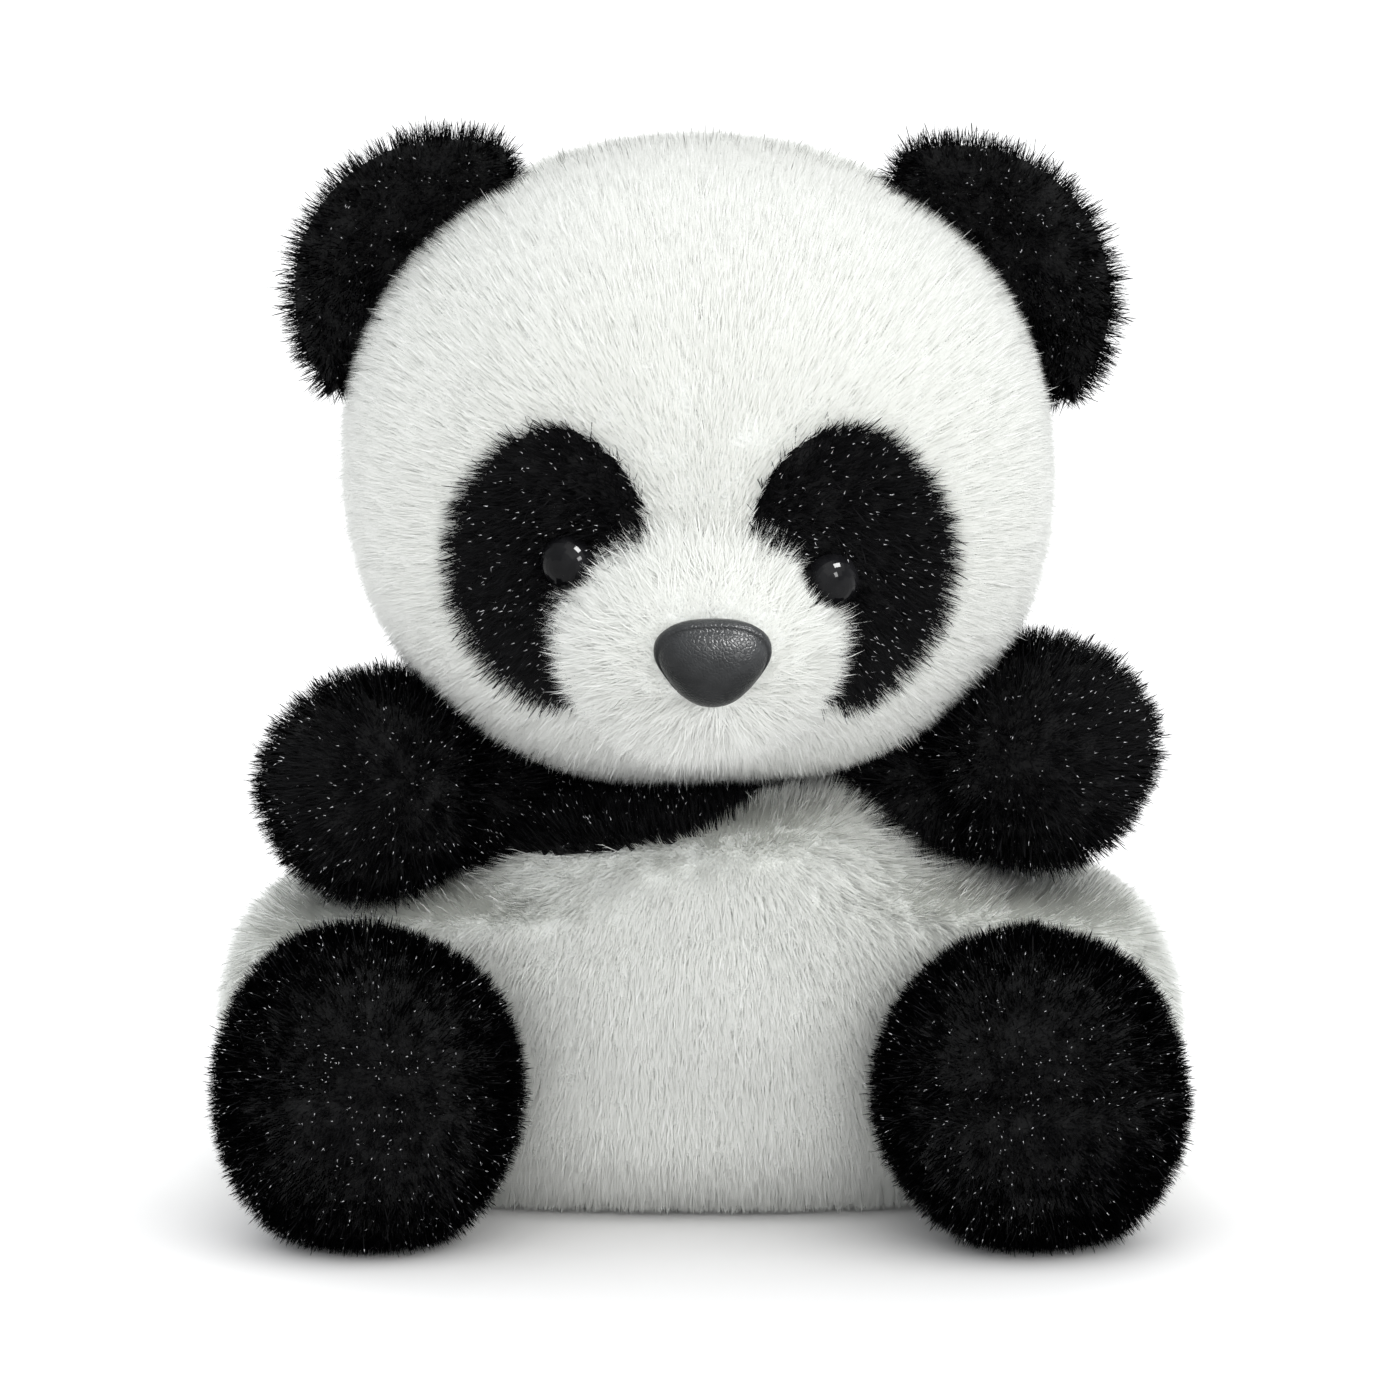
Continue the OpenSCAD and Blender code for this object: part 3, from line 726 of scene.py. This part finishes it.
def head_comb(p, n):
    """The face's pile lies away from the nose, the muzzle's spreads from under it, and behind it hangs."""
    d = unit(p - HEAD_C)
    face = unit(tangent(p - (NOSE_C + FACE_FROM), n))
    muzzle = unit(tangent(p - (NOSE_C + MUZZLE_FROM), n))
    share = smooth(1.15, 0.9, muzzle_share(d))[:, None]
    front = unit(face * (1 - share) + muzzle * share)
    behind = smooth(-0.5, 0.1, d[:, 1])[:, None]
    return front * (1 - behind) + falling(p, n) * behind


# How long the pile stays, as a share, and from where to where in mm it grows to its full length. The panda's
# right eye is half buried in its pile, and its left eye is combed clear
EYE_CLEAR = {"left": 0.32, "right": 0.8}
EYE_REACH = (2.8, 5.6)
NOSE_CLEAR, NOSE_REACH = 0.42, (6.0, 9.0)
FLOOR_CLEAR, FLOOR_REACH = 0.6, (0.3, 3)


def pile_share(p):
    """How long the pile is at each point, as a share of its style's length."""
    share = np.ones(len(p))
    for side in SIDES:
        low, high = cad_box(f"eye_{side}")
        eye = np.array([(low[0] + high[0]) / 2, low[1], (low[2] + high[2]) / 2])
        near = np.linalg.norm((p - eye) * [1, 0.4, 1], axis=1)
        share *= EYE_CLEAR[side] + (1 - EYE_CLEAR[side]) * smooth(*EYE_REACH, near)
    nose = np.linalg.norm((p - NOSE_C) * [1, 0.5, 1.15], axis=1)
    share *= NOSE_CLEAR + (1 - NOSE_CLEAR) * smooth(*NOSE_REACH, nose)
    # short pile where it stands on the floor
    return share * (FLOOR_CLEAR + (1 - FLOOR_CLEAR) * smooth(*FLOOR_REACH, p[:, 2]))


def scatter(points, faces, per_mm2, rng):
    """Random points spread evenly over a surface, with its normals there."""
    normals = vertex_normals(points, faces)
    a, b, c = (points[faces[:, k]] for k in range(3))
    area = np.linalg.norm(np.cross(b - a, c - a), axis=1) / 2
    count = int(area.sum() * per_mm2)
    pick = faces[np.searchsorted(np.cumsum(area) / area.sum(), rng.random(count))]
    u, v = rng.random((2, count))
    flip = u + v > 1
    u, v = np.where(flip, 1 - u, u), np.where(flip, 1 - v, v)
    weights = np.stack([1 - u - v, u, v], 1)[:, :, None]
    return (points[pick] * weights).sum(1), unit((normals[pick] * weights).sum(1))


def ribbon_sides(along, normal, width, roll):
    """Half the width of each strand, as a vector, with its broad side looking along normal."""
    side = unit(np.cross(along, normal))
    face = np.cross(side, along)
    return (side * np.cos(roll)[:, None] + face * np.sin(roll)[:, None]) * width[:, None]


def strands(points, faces, comb, rng):
    """Where the short strands stand: foot, skin's normal, lie of the pile, across it, and the clump's
    middle, swirl and size."""
    centre, normal = scatter(points, faces, STRANDS / CLUMP, rng)
    direction = comb(centre, normal)
    across = np.cross(normal, direction)
    owner = np.repeat(np.arange(len(centre)), CLUMP)
    n, t, b, c = normal[owner], direction[owner], across[owner], centre[owner]
    count = len(owner)
    turn, far = rng.random(count) * 2 * math.pi, CLUMP_R * np.sqrt(rng.random(count))
    foot = c + unit(t) * (np.cos(turn) * far)[:, None] + unit(b) * (np.sin(turn) * far)[:, None]
    swirl = rng.normal(size=len(centre))[owner]
    return foot, n, t, b, c, swirl, rng.normal(1, 1, len(centre))[owner]


def grow(body, points, faces, region, comb, seed, skins):
    """Mesh strands over a body: one piece for each CAD panel, parented to that panel's skin."""
    rng = np.random.default_rng(seed)
    coat = strands(points, faces, comb, rng)
    coat_names = region(coat[0])
    guard, guard_normal = scatter(points, faces, GUARDS, rng)
    guard_comb = comb(guard, guard_normal)
    guard_names = region(guard)
    coat_draw, guard_draw = rng.random(len(coat_names)), rng.random(len(guard_names))
    for node in sorted(skins):
        # the base is bare, since the toy sits on it
        if node == "base_panel":
            continue
        style, colour = style_of(node), colour_of(node)
        coat_kept, guard_kept = KEPT[colour]
        low = [part[(coat_names == node) & (coat_draw < coat_kept)] for part in coat]
        low.append(unit(low[0] - points.mean(0)))
        own = (guard_names == node) & (guard_draw < guard_kept)
        long = [part[own] for part in (guard, guard_normal, guard_comb)]
        long.append(unit(long[0] - points.mean(0)))
        pile = [undercoat(*low, style, colour, rng), guard_hairs(*long, style, colour, rng)]
        make_pile(node, pile, colour, skins[node])


def undercoat(foot, n, t, b, centre, swirl, clump_size, outward, style, colour, rng):
    """The short dense strands. Each is one long triangle."""
    count = len(foot)
    size = 1 + style["uneven"] * 0.7 * (clump_size - 1) + style["uneven"] * rng.normal(size=count)
    length = (style["length"] * pile_share(foot) * np.clip(size, 0.5, 1.4))[:, None]
    lean = t + b * (swirl * style["swirl"] * 2)[:, None]
    way = unit(n + style["lean"] * lean + style["jitter"] * rng.normal(size=(count, 3)))
    tip = foot + way * length
    clump_way = unit(n + style["lean"] * lean)
    tip += style["gather"] * rng.random((count, 1)) * (centre + clump_way * length - tip)
    root = foot - n * ROOT_DEEP
    width = HALF_WIDTH[colour] * rng.uniform(0.8, 1.25, count)
    side = ribbon_sides(unit(tip - root), n + FACE_OUT * outward, width, rng.normal(0, 0.3, count))
    corners = np.stack([root - side, root + side, tip], 1)
    slots = rng.choice(3, size=(count, 1), p=[0.35, 0.4, 0.25])
    return corners, [(0, 1, 2)], slots, shading(side, tip - root, n, colour)


def guard_hairs(foot, n, t, outward, style, colour, rng):
    """Longer hairs above the rest, bent once; each is a quad and then a triangle."""
    count = len(foot)
    length = (style["length"] * pile_share(foot) * rng.normal(1.18, 0.14, count).clip(0.7, 1.6))[:, None]
    drift = 2 * style["jitter"] * rng.normal(size=(count, 3))
    first = unit(n + style["lean"] * 0.7 * t + drift)
    second = unit(n + style["lean"] * 1.15 * t + 1.3 * drift)
    root = foot - n * ROOT_DEEP
    bend = root + first * length * BEND[colour]
    tip = bend + second * length * (1 - BEND[colour])
    width = GUARD_HALF_WIDTH * rng.uniform(0.8, 1.2, count)
    side = ribbon_sides(unit(tip - root), n + FACE_OUT * outward, width, rng.normal(0, 0.4, count))
    corners = np.stack([root - side, root + side, bend + side * 0.8, bend - side * 0.8, tip], 1)
    # some tips past the bend take the last, pale tint: a painted glint
    slots = np.stack([rng.choice(3, size=count), np.where(rng.random(count) < PAINTED_GLINT_TIPS, 3, 2)], 1)
    return corners, [(0, 1, 2, 3), (3, 2, 4)], slots, shading(side, tip - root, n, colour)


def shading(side, along, n, colour):
    """Normals to shade the strands with: between each strand's own and its skin's."""
    own = unit(np.cross(side, along))
    soft = SHADES_AS_ONE[colour]
    return unit(own * (1 - soft) + n * soft)


def make_pile(node, pile, colour, skin):
    """One mesh of all the strands of a panel, as a child of its skin."""
    points, loops, starts, slots, shades = [], [], [], [], []
    first, loop = 0, 0
    for corners, faces, face_slots, shade in pile:
        count, size = corners.shape[:2]
        order = np.concatenate([np.array(f) for f in faces])
        base = first + np.arange(count) * size
        loops.append((base[:, None] + order[None, :]).ravel())
        begin = np.cumsum([0] + [len(f) for f in faces[:-1]])
        starts.append((loop + np.arange(count)[:, None] * len(order) + begin[None, :]).ravel())
        slots.append(face_slots.ravel())
        points.append(corners.reshape(-1, 3))
        shades.append(np.repeat(shade, size, axis=0))
        first += count * size
        loop += count * len(order)
    points, loops, starts, slots, shades = (np.concatenate(x) for x in (points, loops, starts, slots, shades))
    points[:, 2] = np.maximum(points[:, 2], PILE_LOW)
    mesh = bpy.data.meshes.new(f"{node}_pile")
    mesh.vertices.add(len(points))
    mesh.vertices.foreach_set("co", (points * MM).astype(np.float32).ravel())
    mesh.loops.add(len(loops))
    mesh.loops.foreach_set("vertex_index", loops.astype(np.int32))
    mesh.polygons.add(len(starts))
    mesh.polygons.foreach_set("loop_start", starts.astype(np.int32))
    mesh.polygons.foreach_set("material_index", slots.astype(np.int32))
    for material in PILE[colour]:
        mesh.materials.append(material)
    mesh.update(calc_edges=True)
    mesh.normals_split_custom_set_from_vertices(shades)
    piece = bpy.data.objects.new(f"{node}_pile", mesh)
    scene.collection.objects.link(piece)
    piece.parent = skin


# ---------------------------------------------------------------- skins

# Thickness of the modelled cloth
CLOTH = 0.9


def mesh_piece(name, points, faces, material):
    mesh = bpy.data.meshes.new(name)
    mesh.from_pydata((points * MM).tolist(), [], [list(map(int, f)) for f in faces])
    mesh.materials.append(material)
    mesh.update()
    for polygon in mesh.polygons:
        polygon.use_smooth = True
    piece = bpy.data.objects.new(name, mesh)
    scene.collection.objects.link(piece)
    return piece


def cut_skins(body, points, faces, region, fill):
    """One closed shell of cloth for each CAD panel of a body."""
    names = region(points[faces].mean(1))
    normals = vertex_normals(points, faces)
    skins = {}
    for node in sorted(set(names)):
        own = faces[names == node]
        used, index = np.unique(own, return_inverse=True)
        index = index.reshape(own.shape)
        outer = points[used]
        inner = outer - normals[used] * CLOTH
        count = len(used)
        edges = np.concatenate([index[:, [0, 1]], index[:, [1, 2]], index[:, [2, 0]]])
        keys = {tuple(e) for e in edges.tolist()}
        rim = [(a, b) for a, b in keys if (b, a) not in keys]
        walls = [[b, a, a + count, b + count] for a, b in sorted(rim)]
        all_faces = index.tolist() + (index[:, ::-1] + count).tolist() + walls
        skin = mesh_piece(f"{node}_skin", np.concatenate([outer, inner]), all_faces, BACKING[colour_of(node)])
        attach(skin, body)
        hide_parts(node)
        PLUSH_SLOT[colour_of(node)]
        skins[node] = skin
    return skins


def plush(body, points, faces, region, comb, seed, fill):
    """A stuffed body: its panels' skins, and the pile on them."""
    skins = cut_skins(body, points, faces, region, fill)
    grow(body, points, faces, region, comb, seed, skins)


plush("head", *sphere_mesh(6, head_at), head_region, head_comb, 11, 0.8)
plush("torso", *sphere_mesh(6, torso_at), torso_region, falling, 12, 0.5)
for name, side in SIDES.items():
    arm_comb, leg_comb = away_from(arm_parts(side)[0]), away_from(leg_parts(side)[0])
    plush(f"arm_{name}", *sphere_mesh(5, arm_at(side)), arm_region(side), arm_comb, 20 + side, 0.7)
    plush(f"leg_{name}", *sphere_mesh(5, leg_at(side)), leg_region(side), leg_comb, 30 + side, 0.75)
    ear_root = head_rim(np.array(EAR_RISE[side]), np.array(EAR_COMB_OUT)) * [side, 1, 1]
    for i, (text, face) in enumerate({"front": -1, "back": 1}.items()):
        cloth = one_region(f"ear_{name}_{text}")
        plush(f"ear_{name}", *ear_mesh(side, face), cloth, away_from(ear_root), 40 + i + 2 * side, 0.2)
plush("tail", *sphere_mesh(4, tail_at), one_region("tail_skin"), falling, 50, 0.7)


# ---------------------------------------------------------------- inside parts and hardware

BODY_OF = {node: body for body, nodes in frame["record"]["behaviour"]["bodies"].items() for node in nodes}


def soft_copy(node, material, wave, depth, cuts):
    """A lump of filling or a pouch in the CAD solid's place, with the uneven surface that it has."""
    source = frame["nodes"][node].data
    bm = bmesh.new()
    bm.from_mesh(source)
    bmesh.ops.remove_doubles(bm, verts=bm.verts, dist=0.01 * MM)
    bmesh.ops.triangulate(bm, faces=bm.faces)
    bmesh.ops.subdivide_edges(bm, edges=bm.edges, cuts=cuts, use_grid_fill=True, smooth=0.0)
    bm.normal_update()
    points = np.array([v.co for v in bm.verts]) / MM
    push = depth * (ripple(points, wave, 60) + 0.5 * ripple(points, wave / 3, 61) - 1.2) / 2
    for vert, amount in zip(bm.verts, push):
        vert.co += vert.normal * float(amount) * MM
    mesh = bpy.data.meshes.new(f"{node}_soft")
    bm.to_mesh(mesh)
    bm.free()
    mesh.materials.clear()
    mesh.materials.append(material)
    mesh.polygons.foreach_set("material_index", np.zeros(len(mesh.polygons), np.int32))
    mesh.polygons.foreach_set("use_smooth", np.ones(len(mesh.polygons), bool))
    piece = bpy.data.objects.new(f"{node}_soft", mesh)
    scene.collection.objects.link(piece)
    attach(piece, BODY_OF[node])
    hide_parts(node)


def set_material(node, material):
    piece = frame["nodes"][node]
    piece.data.materials.clear()
    piece.data.materials.append(material)
    piece.data.polygons.foreach_set("material_index", np.zeros(len(piece.data.polygons), np.int32))


# Fillings whose edges are cut once; the others are cut twice
CUT_ONCE = ("shoulder", "arm")
for node in frame["nodes"]:
    if "stuffing" in node:
        cuts = 1 if node.startswith(CUT_ONCE) else 2
        soft_copy(node, FILLING, 7, 0.5, cuts)
    elif node.startswith("bean_pouch"):
        soft_copy(node, POUCH, 9, 0.12, 1)
    elif "washer" in node:
        set_material(node, WASHER)
    elif node == "bean_pellets":
        set_material(node, PELLET)
    elif node == "closing_stitches":
        set_material(node, THREAD)
    elif node in ("eye_left", "eye_right"):
        set_material(node, EYE)


NOSE_WIDE, NOSE_TALL = 13.2, 10.8
NOSE_HIGH = 3.4
NOSE_TURN, NOSE_RISE = 2.0, -22.3
# How far the nose stands out of the skin, so that its rim shows above the pile
NOSE_OUT = 0.8
SHANK_R, SHANK_LONG = 1.5, 12.0


def nose_outline(turns):
    """A rounded triangle that points down, with an arched top, as points round its middle."""
    angle = np.linspace(0, 2 * math.pi, turns, endpoint=False)
    r = 1 + 0.085 * np.cos(3 * (angle + math.pi / 2)) - 0.02 * np.cos(angle * 2)
    outline = np.stack([r * np.cos(angle), r * np.sin(angle)], 1)
    span = outline.max(0) - outline.min(0)
    return (outline - (outline.max(0) + outline.min(0)) / 2) * [NOSE_WIDE / span[0], NOSE_TALL / span[1]]


def make_nose():
    """A moulded nose: a domed face with a fine bevelled rim, and the shank behind it."""
    turns = 64
    outline = nose_outline(turns)
    # each ring is a share of the outline and a height above the nose's seat
    shares = (0.04, 0.2, 0.36, 0.5, 0.62, 0.72, 0.8, 0.86, 0.9)
    dome = [(s, 0.75 + NOSE_HIGH * (1 - (s / 0.93) ** 2.4) ** 0.62) for s in shares]
    rim = [(0.93, 0.62), (0.955, 0.66), (0.98, 0.5), (1.0, 0.15), (1.0, -0.5), (0.93, -1.4)]
    rings = [np.column_stack([outline * s, np.full(turns, h)]) for s, h in dome + rim]
    circle = np.linspace(0, 2 * math.pi, turns, endpoint=False)
    for r, h in ((SHANK_R + 0.3, -1.6), (SHANK_R, -2.0), (SHANK_R, -SHANK_LONG), (0.3, -SHANK_LONG - 0.1)):
        rings.append(np.column_stack([r * np.cos(circle), r * np.sin(circle), np.full(turns, h)]))
    n = len(rings)
    local = np.concatenate(rings + [[[0, 0, dome[0][1] + 0.01]], [[0, 0, -SHANK_LONG - 0.1]]])
    after = [(j + 1) % turns for j in range(turns)]
    faces = [[i * turns + j, (i + 1) * turns + j, (i + 1) * turns + after[j], i * turns + after[j]]
             for i in range(n - 1) for j in range(turns)]
    faces += [[n * turns, j, after[j]] for j in range(turns)]
    faces += [[n * turns + 1, (n - 1) * turns + after[j], (n - 1) * turns + j] for j in range(turns)]
    out = ray(NOSE_TURN, NOSE_RISE)
    east = np.array([math.cos(math.radians(NOSE_TURN)), math.sin(math.radians(NOSE_TURN)), 0])
    up = np.cross(out, east)
    seat = head_at(out[None, :])[0] + out * NOSE_OUT
    points = seat + local[:, :1] * east + local[:, 1:2] * up + local[:, 2:] * out
    nose = mesh_piece("moulded_nose", points, faces, NOSE)
    bm = bmesh.new()
    bm.from_mesh(nose.data)
    bmesh.ops.recalc_face_normals(bm, faces=bm.faces)
    bm.to_mesh(nose.data)
    bm.free()
    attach(nose, "head")
    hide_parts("nose")


make_nose()


def make_catch_light(name, azimuth, elevation, width, strength):
    """A lamp that only the eyes and the nose show, as a bright spot."""
    moulded = bpy.data.collections.get("moulded") or bpy.data.collections.new("moulded")
    for shiny in (frame["nodes"]["eye_left"], frame["nodes"]["eye_right"], bpy.data.objects["moulded_nose"]):
        if shiny.name not in moulded.objects:
            moulded.objects.link(shiny)
    lamp = make_sun(name, azimuth, elevation, width, strength, (1.0, 1.0, 1.0))
    lamp.light_linking.receiver_collection = moulded


make_catch_light("high_catch_light", 52, 50, 24, 11.0)
make_catch_light("low_catch_light", 34, 12, 12, 1.2)

LABEL_WIDE, LABEL_T = 11.0, 0.22
LABEL_TURN = 12


def make_label():
    """A blank satin ribbon, folded into a loop and sewn into the seam behind."""
    low, high = cad_box("sewn_label")
    turn = math.radians(LABEL_TURN)
    along = np.array([math.cos(turn), math.sin(turn), 0])
    back = np.array([-math.sin(turn), math.cos(turn), 0])
    centre = (low + high) / 2
    tall = high[2] - low[2]
    # half of the loop from its cut end to its fold: half the gap, and height as a share
    shape = [(0.35, 0.0), (0.3, 0.25), (0.42, 0.55), (0.6, 0.8), (0.5, 0.93), (0.25, 1.0)]
    half = [(y, share * tall) for y, share in shape]
    path = [(-y, z) for y, z in half] + [(y, z) for y, z in reversed(half)]
    columns = 12
    rows = []
    for depth in (0.0, -LABEL_T):
        for y, z in path:
            inward = depth * (1 if z < 0.9 * tall else 0.8)
            for j in range(columns + 1):
                x = LABEL_WIDE * (j / columns - 0.5)
                bow = 0.35 * math.sin(3.1 * j / columns) + 0.12 * math.sin(9 * j / columns)
                rows.append(centre + along * x + back * (np.sign(y) * (abs(y) + inward) + bow)
                            + np.array([0, 0, z - tall / 2 + (inward if z >= tall else 0)]))
    n, m = len(path), columns + 1
    faces = []
    for k in range(2):
        for i in range(n - 1):
            for j in range(columns):
                a = k * n * m + i * m + j
                quad = [a, a + 1, a + m + 1, a + m]
                faces.append(quad if k else quad[::-1])
    for i in range(n - 1):
        for j in (0, columns):
            a = i * m + j
            faces.append([a, a + m, a + m + n * m, a + n * m][:: -1 if j else 1])
    for i in (0, n - 1):
        for j in range(columns):
            a = i * m + j
            faces.append([a, a + 1, a + 1 + n * m, a + n * m][:: 1 if i else -1])
    label = mesh_piece("ribbon_label", np.array(rows), faces, LABEL)
    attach(label, "torso")
    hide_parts("sewn_label")
    length = 2 * sum(math.dist(a, b) for a, b in zip(half, half[1:])) + 2 * half[-1][0]


make_label()


# ---------------------------------------------------------------- floor


FLOOR_HALF = 12.0


def make_floor():
    material, _, shader = new_material("floor")
    shader.inputs["Base Color"].default_value = (0.965, 0.955, 0.955, 1)
    shader.inputs["Roughness"].default_value = 0.9
    shader.inputs["Specular IOR Level"].default_value = 0.1
    mesh = bpy.data.meshes.new("floor")
    r = FLOOR_HALF
    mesh.from_pydata([(-r, -r, 0), (r, -r, 0), (r, r, 0), (-r, r, 0)], [], [(0, 1, 2, 3)])
    mesh.materials.append(material)
    floor = bpy.data.objects.new("floor", mesh)
    scene.collection.objects.link(floor)


make_floor()
